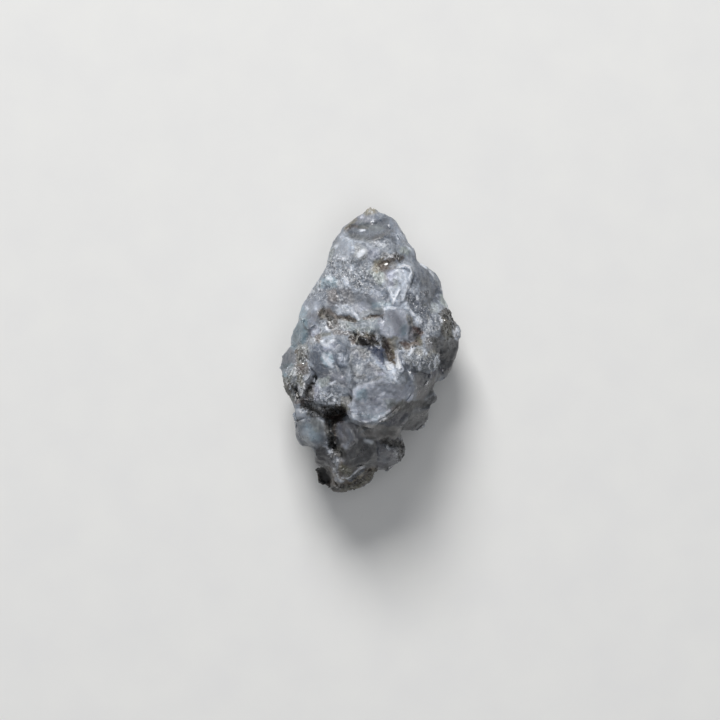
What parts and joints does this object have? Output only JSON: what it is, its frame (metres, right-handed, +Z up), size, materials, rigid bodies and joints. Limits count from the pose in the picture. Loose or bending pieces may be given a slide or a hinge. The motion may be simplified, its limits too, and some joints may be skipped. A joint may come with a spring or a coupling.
{
  "type": "rough alexandrite crystal",
  "caption": "Rough, spindle-shaped alexandrite with a blunt glassy cap, broken stepped blocks, frosted blue-grey faces and dark crevices; lies on one flat break.",
  "frame": {"origin": "centre of the bounding box in X and Y, on the plane of the flat rest face", "axes": "+Y along the stone from its foot to its pointed cap, +X across it, +Z up from the rest face to the rugged front"},
  "size_m": [0.0102, 0.0164, 0.0082],
  "materials": {
    "alexandrite_rough": "translucent blue-grey crystal, frosted and sugary on the broken faces, glassy on the cap, with brown mica in the crevices"
  },
  "bodies": {
    "root": {"alexandrite": "alexandrite_rough"}
  },
  "joints": []
}
